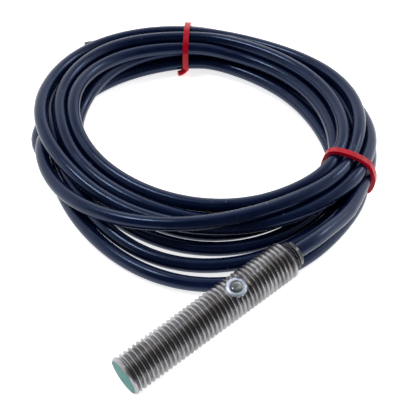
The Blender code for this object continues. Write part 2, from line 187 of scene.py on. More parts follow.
# Loose end of the rear tie: radius in mm and clock position in degrees around the coil's middle,
# height in mm
TIE_END = [(28.9, 56.5, 2.4), (27.9, 58.3, 1.3), (27.4, 60.4, 0.85), (27.2, 62.4, 0.8)]
TIE_END_R = 0.7 * MM

# Cores that show in the cable's cut end
CORE_CLOCKS = {"brown": 90.0, "blue": 210.0, "black": 330.0}
CORE_CIRCLE_MM = 0.72
CORE_SUNK_MM = 0.1
# Radius, and how far it stands out of the cut
CORE_SIZES_MM = {"core": (0.42, 0.12), "strands": (0.22, 0.2)}

# Surroundings
TENT_LEVEL = 1.5
FLOOR_GLOW = 0.8
FLOOR_REACH = 2.0
FLOOR_CELLS = 12

# Camera: where it stands, which way it looks, and its focal length in mm
CAMERA_PLACE = Vector((-65.71 * MM, -76.74 * MM, 144.97 * MM))
CAMERA_AZIMUTH = math.radians(39.86)
CAMERA_ELEVATION = math.radians(47.36)
CAMERA_LEAN = math.radians(0.86)
CAMERA_LENS = 77.1


# ---------------------------------------------------------------- helpers

def axis_frame():
    """Local frame of the sensor: X along the barrel, Z up and square to it."""
    across = Vector((0.0, 1.0, 0.0))
    up = AXIS.cross(across)
    turn = Matrix((AXIS, across, up)).transposed()
    return Matrix.Translation(FACE) @ turn.to_4x4()


def lamp_frame():
    """Place of the lamp in the sensor's frame: Z points out of the window."""
    return Matrix.Translation((LAMP_S, 0, 0)) @ Matrix.Rotation(LAMP_TURN, 4, "X")


def window_frame():
    """Frame for what is turned about the window's own axis: X points out of the window."""
    return axis_frame() @ lamp_frame() @ Matrix.Rotation(-math.pi / 2, 4, "Y")


def coil_middle():
    """The middle of the coil's CAD solid, at the height of the floor."""
    low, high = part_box("cable_coil")
    return Vector(((low.x + high.x) / 2, (low.y + high.y) / 2, 0.0))


def add_piece(name, bm, look, matrix, sharp=35.0):
    """A mesh object made from bm, smooth except at edges sharper than that many degrees."""
    bmesh.ops.recalc_face_normals(bm, faces=bm.faces)
    mesh = bpy.data.meshes.new(name)
    bm.to_mesh(mesh)
    bm.free()
    mesh.shade_smooth()
    mesh.set_sharp_from_angle(angle=math.radians(sharp))
    mesh.materials.append(look)
    piece = bpy.data.objects.new(name, mesh)
    bpy.context.scene.collection.objects.link(piece)
    piece.matrix_world = matrix
    return piece


def ring_of(bm, along, radius, sides):
    """Corners of a ring around local X, or a single point where the radius is 0."""
    if radius <= 0.0:
        return [bm.verts.new((along, 0.0, 0.0))]
    return [bm.verts.new((along, radius * math.sin(math.tau * k / sides),
                          radius * math.cos(math.tau * k / sides))) for k in range(sides)]


def join_rings(bm, here, there):
    """Faces between two closed rows of points, either of which may be a single point."""
    sides = max(len(here), len(there))
    if sides == 1:
        return
    for k in range(sides):
        j = (k + 1) % sides
        corners = [here[k % len(here)], here[j % len(here)],
                   there[j % len(there)], there[k % len(there)]]
        bm.faces.new(list(dict.fromkeys(corners)))


def turned(outline, sides=64):
    """A closed turned solid about local X; outline is a loop of (along X, radius)."""
    bm = bmesh.new()
    rings = [ring_of(bm, along, radius, sides) for along, radius in outline]
    for here, there in zip(rings, rings[1:] + rings[:1]):
        join_rings(bm, here, there)
    return bm


def catmull(points, steps):
    """Points of a smooth curve through the given points."""
    pts = [Vector(p) for p in points]
    ends = [2 * pts[0] - pts[1]] + pts + [2 * pts[-1] - pts[-2]]
    smooth = []
    for before, start, stop, after in zip(ends, ends[1:], ends[2:], ends[3:]):
        for k in range(steps):
            t = k / steps
            smooth.append(0.5 * (2 * start + (stop - before) * t
                                 + (2 * before - 5 * start + 4 * stop - after) * t * t
                                 + (3 * start - before - 3 * stop + after) * t ** 3))
    return smooth + [pts[-1]]


# ---------------------------------------------------------------- materials

def new_material(name, colour, roughness, metallic=0.0):
    """A material, its nodes and its shader, with plain values that patterns then replace."""
    made = bpy.data.materials.new(name)
    made.use_nodes = True
    shader = made.node_tree.nodes["Principled BSDF"]
    shader.inputs["Base Color"].default_value = (*colour, 1.0)
    shader.inputs["Roughness"].default_value = roughness
    shader.inputs["Metallic"].default_value = metallic
    made.diffuse_color = (*colour, 1.0)
    return made, made.node_tree, shader


def add_node(tree, kind, inputs=None, **settings):
    """A node with its settings; an input is either a value or another node's output."""
    node = tree.nodes.new(kind)
    for key, value in settings.items():
        setattr(node, key, value)
    for key, value in (inputs or {}).items():
        if isinstance(value, bpy.types.NodeSocket):
            tree.links.new(value, node.inputs[key])
        else:
            node.inputs[key].default_value = value
    return node


def noise(tree, scale, detail=4.0):
    """Soft random patches, about 0.3 to 0.7."""
    place = add_node(tree, "ShaderNodeTexCoord")
    made = add_node(tree, "ShaderNodeTexNoise", {"Vector": place.outputs["Object"], "Scale": scale,
                                                 "Detail": detail, "Roughness": 0.55})
    return made.outputs["Fac"]


def math_node(tree, operation, *values):
    """The result of one calculation on values or outputs."""
    return add_node(tree, "ShaderNodeMath", dict(enumerate(values)), operation=operation).outputs[0]


def ramp(tree, value, stops):
    """A value turned into a colour; stops are (value, colour)."""
    node = add_node(tree, "ShaderNodeValToRGB", {"Fac": value})
    elements = node.color_ramp.elements
    while len(elements) < len(stops):
        elements.new(0.5)
    for element, (position, colour) in zip(elements, stops):
        element.position = position
        element.color = (*colour, 1.0)
    return node.outputs["Color"]


def drive(tree, shader, socket, value, stops):
    """Let a value set one of the shader's sockets through a colour ramp."""
    tree.links.new(ramp(tree, value, stops), shader.inputs[socket])


def grey(value):
    """A colour without a tint."""
    return (value, value, value)


def specks(tree, scale, size):
    """1 on small scattered specks, 0 elsewhere."""
    place = add_node(tree, "ShaderNodeTexCoord")
    cells = add_node(tree, "ShaderNodeTexVoronoi", {"Vector": place.outputs["Object"], "Scale": scale})
    near = math_node(tree, "LESS_THAN", cells.outputs["Distance"], size)
    split = add_node(tree, "ShaderNodeSeparateColor", {"Color": cells.outputs["Color"]})
    rare = math_node(tree, "GREATER_THAN", split.outputs["Red"], 0.97)
    return math_node(tree, "MULTIPLY", near, rare)


def bump(tree, shader, height, strength, distance):
    """Fine relief, as deep as the distance."""
    node = add_node(tree, "ShaderNodeBump",
                    {"Height": height, "Strength": strength, "Distance": distance})
    tree.links.new(node.outputs["Normal"], shader.inputs["Normal"])


def mottled(name, colour, roughness, metallic=0.0, scale=900.0, vary=0.25, bump_mm=0.004, coat=0.0):
    """A plain technical material: slight patches of tone, uneven gloss and a fine grain."""
    made, tree, shader = new_material(name, colour, roughness, metallic)
    patches = noise(tree, scale)
    darker = tuple(c * (1 - vary) for c in colour)
    lighter = tuple(min(1.0, c * (1 + vary)) for c in colour)
    drive(tree, shader, "Base Color", patches, [(0.3, darker), (0.7, lighter)])
    drive(tree, shader, "Roughness", patches, [(0.3, grey(roughness * 0.8)), (0.7, grey(roughness * 1.2))])
    bump(tree, shader, noise(tree, scale * 6, 3.0), 0.5, bump_mm * MM)
    shader.inputs["Coat Weight"].default_value = coat
    return made


def nickel_look():
    """Nickel plating with painted shade that darkens the thread's grooves; duller there, with fine turning
    marks.
    """
    made, tree, shader = new_material("plated_brass", (0.80, 0.79, 0.77), 0.17, 1.0)
    place = add_node(tree, "ShaderNodeTexCoord")
    parts = add_node(tree, "ShaderNodeSeparateXYZ", {"Vector": place.outputs["Object"]})
    flat = add_node(tree, "ShaderNodeCombineXYZ", {"Y": parts.outputs["Y"], "Z": parts.outputs["Z"]})
    radius = add_node(tree, "ShaderNodeVectorMath", {0: flat.outputs["Vector"]}, operation="LENGTH")
    height = add_node(tree, "ShaderNodeMapRange", {"Value": radius.outputs["Value"],
                                                   "From Min": THREAD_R - THREAD_DEPTH,
                                                   "From Max": THREAD_R})
    patches = noise(tree, 260.0, 6.0)
    patches_and_painted_light = math_node(tree, "MULTIPLY_ADD", height.outputs[0], patches, patches)
    # Painted shade: the base colour darkens into the thread's grooves and lightens on the crests, with
    # random patches.
    drive(tree, shader, "Base Color", patches_and_painted_light, [(0.35, (0.14, 0.13, 0.135)), (0.7, (0.25, 0.243, 0.25)),
                                              (1.0, (0.33, 0.33, 0.35))])
    drive(tree, shader, "Roughness", patches_and_painted_light, [(0.3, grey(0.40)), (0.9, grey(0.25))])
    marks = add_node(tree, "ShaderNodeTexWave", {"Vector": place.outputs["Object"], "Scale": 5200.0,
                                                 "Distortion": 1.5, "Detail": 2.0}, bands_direction="X")
    bump(tree, shader, marks.outputs["Fac"], 0.25, 0.004 * MM)
    return made


def jacket_look():
    """Dark blue-black soft PVC: glossy, with rubbed patches, a fine grain and dust."""
    made, tree, shader = new_material("cable_jacket", (0.003, 0.006, 0.024), 0.2)
    tone = ramp(tree, noise(tree, 140.0, 5.0), [(0.3, (0.001, 0.004, 0.026)),
                                                (0.7, (0.003, 0.009, 0.042))])
    dust = specks(tree, 900.0, 0.13)
    dusted = add_node(tree, "ShaderNodeMix", {"Factor": dust, "A": tone,
                                              "B": (0.16, 0.17, 0.19, 1.0)}, data_type="RGBA")
    tree.links.new(dusted.outputs["Result"], shader.inputs["Base Color"])
    drive(tree, shader, "Roughness", noise(tree, 420.0), [(0.35, grey(0.15)), (0.75, grey(0.30))])
    bump(tree, shader, noise(tree, 1800.0, 3.0), 0.35, 0.012 * MM)
    shader.inputs["Specular Tint"].default_value = (0.50, 0.66, 1.0, 1.0)
    return made


def face_look():
    """Teal-green moulded plastic with a fine matt grain."""
    made, tree, shader = new_material("face_plastic", (0.06, 0.50, 0.44), 0.42)
    patches = noise(tree, 500.0, 5.0)
    drive(tree, shader, "Base Color", patches, [(0.3, (0.001, 0.14, 0.135)), (0.7, (0.003, 0.18, 0.17))])
    drive(tree, shader, "Roughness", patches, [(0.3, grey(0.36)), (0.7, grey(0.48))])
    bump(tree, shader, noise(tree, 5000.0, 2.0), 0.5, 0.01 * MM)
    shader.inputs["Specular IOR Level"].default_value = 0.15
    return made


def tie_look():
    """Red soft plastic band."""
    made, tree, shader = new_material("tie_plastic", (0.56, 0.004, 0.016), 0.4)
    patches = noise(tree, 700.0)
    drive(tree, shader, "Base Color", patches, [(0.3, (0.42, 0.0, 0.010)), (0.7, (0.56, 0.001, 0.022))])
    drive(tree, shader, "Roughness", patches, [(0.3, grey(0.24)), (0.7, grey(0.36))])
    shader.inputs["Specular IOR Level"].default_value = 0.25
    bump(tree, shader, noise(tree, 2600.0, 3.0), 0.4, 0.01 * MM)
    return made


def lens_look():
    """Smoky clear plastic over the dark board, with a painted highlight that lightens it towards the rear
    of the sensor.
    """
    made, tree, shader = new_material("window_clear", (0.2, 0.22, 0.24), 0.06)
    patches = noise(tree, 900.0, 3.0)
    place = add_node(tree, "ShaderNodeTexCoord")
    parts = add_node(tree, "ShaderNodeSeparateXYZ", {"Vector": place.outputs["Object"]})
    painted_highlight = add_node(tree, "ShaderNodeMapRange", {"Value": parts.outputs["Z"], "From Min": LENS_R,
                                                      "From Max": -LENS_R, "To Min": -0.25,
                                                      "To Max": 0.35})
    patches_and_painted_light = math_node(tree, "ADD", patches, painted_highlight.outputs[0])
    # Painted highlight: the colour goes from dark to pale towards the rear of the sensor, with random
    # patches.
    drive(tree, shader, "Base Color", patches_and_painted_light, [(0.25, (0.035, 0.045, 0.05)), (0.6, (0.12, 0.14, 0.15)),
                                              (0.9, (0.50, 0.54, 0.56))])
    bump(tree, shader, patches, 0.2, 0.01 * MM)
    return made


def floor_look():
    """White surface that glows a little, with barely visible patches."""
    made, tree, shader = new_material("white_surface", (0.95, 0.95, 0.95), 0.7)
    tone = ramp(tree, noise(tree, 30.0, 3.0), [(0.3, grey(0.94)), (0.7, grey(0.96))])
    tree.links.new(tone, shader.inputs["Base Color"])
    tree.links.new(tone, shader.inputs["Emission Color"])
    shader.inputs["Emission Strength"].default_value = FLOOR_GLOW
    return made


# ---------------------------------------------------------------- camera and lights

def make_camera():
    """Looks down on the sensor's front left, level but for a slight lean."""
    data = bpy.data.cameras.new("camera")
    data.sensor_width = 36.0
    data.lens = CAMERA_LENS
    data.clip_start = 0.01
    camera = bpy.data.objects.new("camera", data)
    bpy.context.scene.collection.objects.link(camera)
    turn = (Matrix.Rotation(-CAMERA_AZIMUTH, 3, "Z")
            @ Matrix.Rotation(math.pi / 2 - CAMERA_ELEVATION, 3, "X")
            @ Matrix.Rotation(CAMERA_LEAN, 3, "Z"))
    camera.matrix_world = Matrix.Translation(CAMERA_PLACE) @ turn.to_4x4()
    bpy.context.scene.camera = camera


def area_light(name, where, aim, size, power, colour=(1.0, 1.0, 1.0)):
    """A rectangular light that faces the point it is aimed at."""
    data = bpy.data.lights.new(name, "AREA")
    data.shape = "RECTANGLE"
    data.size, data.size_y = size
    data.energy = power
    data.color = colour
    light = bpy.data.objects.new(name, data)
    bpy.context.scene.collection.objects.link(light)
    towards = Vector(aim) - Vector(where)
    light.matrix_world = Matrix.Translation(where) @ towards.to_track_quat("-Z", "Y").to_matrix().to_4x4()


def make_tent():
    """Bright white tent, darker overhead and with a dark gap on the front left side."""
    bpy.context.scene.view_settings.view_transform = "Standard"
    world = bpy.data.worlds.new("tent")
    bpy.context.scene.world = world
    world.use_nodes = True
    tree = world.node_tree
    place = add_node(tree, "ShaderNodeTexCoord")
    gap_side = Vector((-0.52, -0.62, 0.42)).normalized()
    towards = add_node(tree, "ShaderNodeVectorMath", {0: place.outputs["Generated"], 1: gap_side},
                       operation="DOT_PRODUCT")
    beside_gap = add_node(tree, "ShaderNodeMapRange", {"Value": towards.outputs["Value"],
                                                       "From Min": 0.15, "From Max": 0.75,
                                                       "To Min": 1.0, "To Max": 0.08},
                          interpolation_type="SMOOTHSTEP")
    parts = add_node(tree, "ShaderNodeSeparateXYZ", {"Vector": place.outputs["Generated"]})
    walls = ramp(tree, parts.outputs["Z"], [(0.0, grey(0.9)), (0.35, grey(1.0)), (0.62, grey(0.9)),
                                            (0.80, grey(0.50)), (1.0, grey(0.30))])
    walls_level = math_node(tree, "MULTIPLY", walls, TENT_LEVEL)
    level = math_node(tree, "MULTIPLY", walls_level, beside_gap.outputs[0])
    sky = tree.nodes["Background"]
    sky.inputs["Color"].default_value = (1.0, 1.0, 1.0, 1.0)
    tree.links.new(level, sky.inputs["Strength"])


def make_floor():
    """White surface that the sensor and its cable lie on."""
    bm = bmesh.new()
    places = [FLOOR_REACH * (2 * i / FLOOR_CELLS - 1) for i in range(FLOOR_CELLS + 1)]
    rows = [[bm.verts.new((x, y, 0.0)) for x in places] for y in places]
    for near, far in zip(rows, rows[1:]):
        for i in range(FLOOR_CELLS):
            bm.faces.new((near[i], near[i + 1], far[i + 1], far[i]))
    floor = add_piece("floor", bm, floor_look(), Matrix())


def make_lights():
    """Two white lights above and a small warm one low on the left."""
    area_light("top_light", (-0.15, 0.30, 0.80), (0.02, 0.03, 0.0), (0.16, 0.16), 1.6)
    area_light("warm_reflector", (-0.60, 0.10, 0.10), (0.0, 0.04, 0.0), (0.14, 0.10), 0.08,
               (1.0, 0.86, 0.45))
    area_light("side_light", (0.60, -0.10, 0.50), (0.03, 0.03, 0.0), (0.20, 0.20), 0.8)


# ---------------------------------------------------------------- cable

def winding_targets():
    """Where the turns should run, as several points to each clock step."""
    middle = coil_middle()
    plan = [pair for turn in TURNS_MM for pair in turn]
    knots = []
    for step, (radius, height) in enumerate(plan):
        knots.append((FIRST_CLOCK + CLOCK_STEP * step, radius, height))
    points = []
    for angle, radius, height in catmull(knots, STEPS_PER_CLOCK):
        turn = math.radians(angle)
        points.append((middle.x + radius * MM * math.cos(turn), middle.y + radius * MM * math.sin(turn),
                       max(height * MM, CABLE_R)))
    return points


def spaced(points, gap):
    """The same line with its points evenly spaced."""
    pts = np.array(points, dtype=float)
    steps = np.linalg.norm(np.diff(pts, axis=0), axis=1)
    along = np.concatenate([[0.0], np.cumsum(steps)])
    count = int(round(along[-1] / gap))
    wanted = np.linspace(0.0, along[-1], count + 1)
    return np.stack([np.interp(wanted, along, pts[:, k]) for k in range(3)], axis=1)


def spread(strength, rows, columns, push, count):
    """How each point moves: its pairs' pushes, averaged over the point's contacts."""
    total = np.zeros((count, 3))
    for k in range(3):
        total[:, k] = (np.bincount(rows, weights=push[:, k], minlength=count)
                       - np.bincount(columns, weights=push[:, k], minlength=count))
    times = np.bincount(rows, minlength=count) + np.bincount(columns, minlength=count)
    return total * strength / np.maximum(times, 1)[:, None]


def unbend(line, stride):
    """How far each point lies off the smooth curve through its neighbours a stride away."""
    bend = np.zeros_like(line)
    bend[stride:-stride] = (line[:-2 * stride] + line[2 * stride:]) / 2 - line[stride:-stride]
    curl = np.zeros_like(line)
    inner = slice(2 * stride, -2 * stride)
    curl[inner] = (bend[stride:-3 * stride] + bend[3 * stride:-stride]) / 2 - bend[inner]
    return curl


def squeeze(line, middle, free):
    """Move the turns towards the room inside each tie that they pass through."""
    offset = line[:, :2] - middle
    radius = np.linalg.norm(offset, axis=1)
    clock = np.arctan2(offset[:, 1], offset[:, 0])
    for name, (low, high, top) in TIE_ROOM_MM.items():
        across = radius * np.abs(np.angle(np.exp(1j * (clock - TIE_ANGLES[name]))))
        near = (across < TIE_REACH) & (free > 0)
        firm = TIE_GRIP * np.clip((TIE_REACH - across[near]) / TIE_FADE, 0.0, 1.0)
        wanted = np.clip(radius[near], low * MM, high * MM)
        line[near, :2] += offset[near] / radius[near, None] * ((wanted - radius[near]) * firm)[:, None]
        line[near, 2] += firm * (np.minimum(line[near, 2], top * MM) - line[near, 2])


def close_pairs(line, apart):
    """Pairs of points that touch, or soon may, on different stretches of the cable."""
    flat = line @ line.T
    square = np.diag(flat)
    distance = np.sqrt(np.maximum(square[:, None] + square[None, :] - 2 * flat, 0.0))
    return np.nonzero(apart & (distance < 2.0 * CABLE_R + SEARCH_MARGIN))


def push_apart(line, rows, columns):
    """How each point moves to be one diameter away from the other turns."""
    difference = line[rows] - line[columns]
    size = np.maximum(np.linalg.norm(difference, axis=1), 0.02 * MM)
    deficit = np.maximum(2.0 * CABLE_R - size, 0.0)
    hit = deficit > 0
    push = difference[hit] / size[hit, None] * deficit[hit, None] * 0.5
    return spread(PUSH, rows[hit], columns[hit], push, len(line))


def clear_sensor(line, free):
    """Move what runs into the barrel or the collar out of it, square to its axis."""
    along = np.array(AXIS)
    clear = THREAD_R + CABLE_R + SENSOR_GAP
    offset = line - np.array(FACE)
    place = offset @ along
    radial = offset - place[:, None] * along
    away = np.linalg.norm(radial, axis=1)
    beside = (place > -CABLE_R) & (place < REAR_END + CABLE_R)
    inside = beside & (away < clear) & (free > 0)
    line[inside] += radial[inside] / away[inside, None] * (clear - away[inside])[:, None]


def settle(plan, fixed_start, fixed_end):
    """Let the turns push each other apart to one diameter, on the floor and clear of the sensor."""
    line = plan.copy()
    count = len(line)
    order = np.arange(count)
    gap = np.linalg.norm(line[1] - line[0])
    # Each pair once, and only points that are two diameters or more apart along the cable
    apart = (order[None, :] - order[:, None]) * gap > 4.0 * CABLE_R
    free = np.ones(count)
    free[:fixed_start] = 0.0
    free[count - fixed_end:] = 0.0
    middle = np.array(coil_middle()[:2])
    for round_number in range(SETTLE_ROUNDS):
        if round_number % SEARCH_EVERY == 0:
            rows, columns = close_pairs(line, apart)
        done = round_number / SETTLE_ROUNDS
        move = HOLD_START * max(0.0, 1.0 - done / HOLD_UNTIL) * (plan - line)
        move += push_apart(line, rows, columns)
        for stride, share in (WIDE_SMOOTHING if done < WIDE_UNTIL else []) + CLOSE_SMOOTHING:
            move -= share * unbend(line, stride)
        line += move * free[:, None]
        squeeze(line, middle, free)
        clear_sensor(line, free)
        line[:, 2] = np.maximum(line[:, 2], CABLE_R)
    return line


def cable_line():
    """The cable's middle line, from inside the collar through the turns to the cut end."""
    def shifted(route):
        """A route as places in the shared frame."""
        return [Vector((FACE.x + x * MM, y * MM, z * MM)) for x, y, z in route]

    steps = 3
    inside = [FACE + AXIS * CABLE_START_MM * MM, FACE + AXIS * REAR_END]
    exit_points = catmull(inside + shifted(EXIT_ROUTE_MM), steps)[:-steps]
    # Every second point, without the first and the last, where the two routes lead in and out
    coil_points = winding_targets()[::2][1:-1]
    whole = catmull(exit_points + coil_points + shifted(TAIL_ROUTE_MM), steps)
    return settle(spaced(whole, LINE_GAP), int(FIXED_START / LINE_GAP), int(FIXED_END / LINE_GAP))


def tube_mesh(line, radius, sides):
    """A round tube along a line, with flat ends."""
    bm = bmesh.new()
    points = [Vector(p) for p in line]
    rings = []
    side = Vector((0.0, 0.0, 1.0))
    for here, point in enumerate(points):
        before = points[max(here - 1, 0)]
        after = points[min(here + 1, len(points) - 1)]
        direction = (after - before).normalized()
        side = (side - direction * side.dot(direction)).normalized()
        other = direction.cross(side)
        rings.append([bm.verts.new(point + (side * math.cos(math.tau * k / sides)
                                            + other * math.sin(math.tau * k / sides)) * radius)
                      for k in range(sides)])
    for here, there in zip(rings, rings[1:]):
        join_rings(bm, here, there)
    bm.faces.new(rings[0][::-1])
    bm.faces.new(rings[-1])
    return bm


def convex_outline(points):
    """Convex outline of 2-D points, anticlockwise."""
    pts = sorted(set(points))

    def half(ordered):
        """Lower side of the outline, or the upper one from points in reverse order."""
        chain = []
        for p in ordered:
            while len(chain) > 1 and ((chain[-1][0] - chain[-2][0]) * (p[1] - chain[-2][1])
                                      - (chain[-1][1] - chain[-2][1]) * (p[0] - chain[-2][0])) <= 0:
                chain.pop()
            chain.append(p)
        return chain[:-1]

    return half(pts) + half(pts[::-1])


def tie_frame(name):
    """The middle of a tie on the floor, and the direction it runs in across the turns."""
    radius = sum(TIE_ROOM_MM[name][:2]) / 2 * MM
    angle = TIE_ANGLES[name]
    middle = coil_middle() + Vector((radius * math.cos(angle), radius * math.sin(angle), 0.0))
    return middle, angle + TIE_SLANTS[name]


def tie_loops(line, name):
    """Inner and outer outline of a tie around the turns it holds: (outwards, height) pairs."""
    middle, angle = tie_frame(name)
    flat = line[:, :2] - np.array(middle[:2])
    direction = np.array([math.cos(angle), math.sin(angle)])
    radial = flat @ direction
    across = flat @ np.array([-direction[1], direction[0]])
    near = (np.abs(across) < TIE_WIDTH) & (np.abs(radial) < TIE_HALF_SPAN)
    corners = 28
    loops = []
    for offset, low in ((TIE_GAP, TIE_FLOOR_GAP + TIE_THICK), (TIE_GAP + TIE_THICK, TIE_FLOOR_GAP)):
        reach = CABLE_R + offset
        circles = []
        for r, h in zip(radial[near], line[near][:, 2]):
            for k in range(corners):
                turn = math.tau * k / corners
                circles.append((float(r + reach * math.cos(turn)),
                                float(max(h + reach * math.sin(turn), low))))
        loops.append(even_loop(convex_outline(circles), TIE_POINTS, low))
    return loops


def even_loop(outline, count, low):
    """A softened closed outline, its points evenly spaced by direction from its middle."""
    cuts = 8
    soft_rounds = 8
    pts = np.array(outline)
    centre = (pts.max(axis=0) + pts.min(axis=0)) / 2
    closed = np.vstack([pts, pts[:1]])
    dense = np.vstack([closed[i] + (closed[i + 1] - closed[i]) * t
                       for i in range(len(pts)) for t in np.linspace(0, 1, cuts, endpoint=False)])
    angles = np.arctan2(dense[:, 1] - centre[1], dense[:, 0] - centre[0])
    order = np.argsort(angles)
    wanted = np.linspace(-math.pi, math.pi, count, endpoint=False)
    u = np.interp(wanted, angles[order], dense[order, 0], period=math.tau)
    v = np.interp(wanted, angles[order], dense[order, 1], period=math.tau)
    for _ in range(soft_rounds):
        u = (np.roll(u, 1) + 2 * u + np.roll(u, -1)) / 4
        v = (np.roll(v, 1) + 2 * v + np.roll(v, -1)) / 4
    return list(zip(u.tolist(), np.maximum(v, low).tolist()))


def make_tie(name, line, look):
    """A soft-edged band around the turns that the tie holds."""
    middle, angle = tie_frame(name)
    inner, outer = tie_loops(line, name)
    bm = bmesh.new()
    half = TIE_WIDTH / 2
    rows = []
    for loop, side in ((inner, -1), (outer, -1), (outer, 1), (inner, 1)):
        rows.append([bm.verts.new((u, side * half, v)) for u, v in loop])
    for here, there in zip(rows, rows[1:] + rows[:1]):
        join_rings(bm, here, there)
    edges = [e for e in bm.edges
             if len(e.link_faces) == 2 and e.calc_face_angle(0) > math.radians(60)]
    bmesh.ops.bevel(bm, geom=edges, offset=0.14 * MM, segments=2, affect="EDGES", clamp_overlap=True)
    place = Matrix.Translation(middle) @ Matrix.Rotation(angle, 4, "Z")
    tie = add_piece(name + "_band", bm, look, place)
    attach(tie, "root")
    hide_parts(name)
    return tie


def make_tie_end(look):
    """The short loose end of the rear tie, which lies on the surface inside the coil."""
    middle = coil_middle()
    points = []
    for radius, clock, height in TIE_END:
        angle = math.radians(clock)
        points.append(Vector((middle.x + radius * MM * math.cos(angle),
                              middle.y + radius * MM * math.sin(angle), height * MM)))
    bm = tube_mesh(catmull(points, 6), TIE_END_R, 20)
    end = add_piece("tie_rear_end", bm, look, Matrix(), 60.0)
    rounded = end.modifiers.new("rounded", "BEVEL")
    rounded.width = 0.25 * MM
    rounded.segments = 3
    rounded.angle_limit = math.radians(50.0)
    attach(end, "root")
    return end


def make_cable_end(line, looks):
    """The three insulated cores that show in the cut end, each with its copper strands."""
    tip = Vector(line[-1])
    direction = (tip - Vector(line[-2])).normalized()
    side = Vector((0, 0, 1))
    side = (side - direction * side.dot(direction)).normalized()
    other = direction.cross(side)
    made = []
    for name, clock in CORE_CLOCKS.items():
        angle = math.radians(clock)
        middle = tip + (side * math.sin(angle) + other * math.cos(angle)) * CORE_CIRCLE_MM * MM
        for part, (radius, reach) in CORE_SIZES_MM.items():
            ends = [middle - direction * CORE_SUNK_MM * MM, middle + direction * reach * MM]
            bm = tube_mesh(ends, radius * MM, 20)
            look = looks["wire_" + name] if part == "core" else looks["copper"]
            piece = add_piece(f"cut_{name}_{part}", bm, look, Matrix())
            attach(piece, "root")
            made.append(piece)
    return made


def make_cable(looks):
    """The whole cable, with its ties and what shows in its cut end."""
    line = cable_line()
    bm = tube_mesh(spaced(line, CABLE_ROW), CABLE_R, CABLE_SIDES)
    cable = add_piece("coiled_cable", bm, looks["jacket"], Matrix(), 60.0)
    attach(cable, "root")
    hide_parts("cable_exit", "cable_coil", "cable_tail")
    ties = [make_tie(name, line, looks["tie"]) for name in TIE_ANGLES] + [make_tie_end(looks["tie"])]
    ends = make_cable_end(line, looks)


# ---------------------------------------------------------------- sensor

def threaded_skin(bm, start, end):
    """Helical outside: rows follow the thread, eight to a pitch, fading out at both ends."""
    turns = int(round((end - start) / PITCH))
    columns = []
    for k in range(THREAD_SIDES):
        angle = math.tau * k / THREAD_SIDES
        column = []
        for turn in range(-1, turns + 1):
            for offset, depth in THREAD_SHAPE:
                along = min(max(start + PITCH * (turn + offset + k / THREAD_SIDES), start), end)
                fade = min(1.0, 2 * (along - start) / PITCH, 2 * (end - along) / PITCH)
                radius = THREAD_R - THREAD_DEPTH * fade * depth
                column.append(bm.verts.new((along, radius * math.sin(angle), radius * math.cos(angle))))
        columns.append(column)
    last = len(columns[0]) - 1
    pitch_rows = len(THREAD_SHAPE)
    for k in range(THREAD_SIDES):
        here = columns[k]
        there = columns[(k + 1) % THREAD_SIDES]
        shift = pitch_rows if k + 1 == THREAD_SIDES else 0
        for row in range(last):
            corners = [here[row], here[row + 1],
                       there[min(row + 1 + shift, last)], there[min(row + shift, last)]]
            unique = list(dict.fromkeys(corners))
            if len(unique) > 2:
                bm.faces.new(unique)


def make_barrel(looks):
    """Threaded barrel with chamfered rims, a stepped bore, and the window's hole and flat seat."""
    bm = bmesh.new()
    thread_start = PLAIN_FRONT
    thread_end = BARREL_LENGTH - PLAIN_REAR
    threaded_skin(bm, thread_start, thread_end)
    rim_r = THREAD_R - RIM_CHAMFER
    land = [(thread_end, THREAD_R), (BARREL_LENGTH - RIM_CHAMFER, THREAD_R), (BARREL_LENGTH, rim_r),
            (BARREL_LENGTH, BORE_R), (MOUTH_DEPTH, BORE_R), (MOUTH_DEPTH, MOUTH_R),
            (0.0, MOUTH_R), (0.0, rim_r), (RIM_CHAMFER, THREAD_R), (thread_start, THREAD_R)]
    rings = [ring_of(bm, along, radius, THREAD_SIDES) for along, radius in land]
    for here, there in zip(rings, rings[1:]):
        join_rings(bm, here, there)
    bmesh.ops.remove_doubles(bm, verts=bm.verts, dist=0.002 * MM)
    barrel = add_piece("barrel_skin", bm, looks["nickel"], axis_frame(), 28.0)
    hole_r = LENS_R + 0.05 * MM
    inside = BORE_R - 0.8 * MM
    outside = THREAD_R + 1.2 * MM
    drill = turned([(inside, 0.0), (inside, hole_r), (SEAT_HEIGHT, hole_r), (SEAT_HEIGHT, SEAT_R),
                    (outside, SEAT_R), (outside, 0.0)], 72)
    cutter = add_piece("window_drill", drill, looks["milled"], window_frame())
    cut = barrel.modifiers.new("window", "BOOLEAN")
    cut.operation = "DIFFERENCE"
    cut.solver = "EXACT"
    cut.object = cutter
    cut.material_mode = "TRANSFER"
    shaped = barrel.evaluated_get(bpy.context.evaluated_depsgraph_get())
    mesh = bpy.data.meshes.new_from_object(shaped)
    barrel.modifiers.clear()
    barrel.data = mesh
    bpy.data.objects.remove(cutter, do_unlink=True)
    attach(barrel, "root")
    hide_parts("threaded_barrel")


def quarter_turn(steps):
    """Angles from a right angle down to 0."""
    return [math.pi / 2 * k / steps for k in range(steps, -1, -1)]


def make_face(looks):
    """Moulded face cap with a softly rounded edge and a skirt inside the bore."""
    rounded = [(FACE_EDGE - FACE_EDGE * math.sin(turn), FACE_R - FACE_EDGE + FACE_EDGE * math.cos(turn))
               for turn in quarter_turn(4)]
    back = MOUTH_DEPTH - 0.1 * MM
    outline = [(0.0, 0.0), (0.0, FACE_R * 0.5)] + rounded + [
        (back, FACE_R), (back, SKIRT_R), (SKIRT_END, SKIRT_R), (SKIRT_END, SKIRT_BORE_R),
        (FACE_WALL, SKIRT_BORE_R), (FACE_WALL, 0.0)]
    face = add_piece("face_cap", turned(outline, 96), looks["face"], axis_frame())
    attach(face, "root")
    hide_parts("sensing_face")


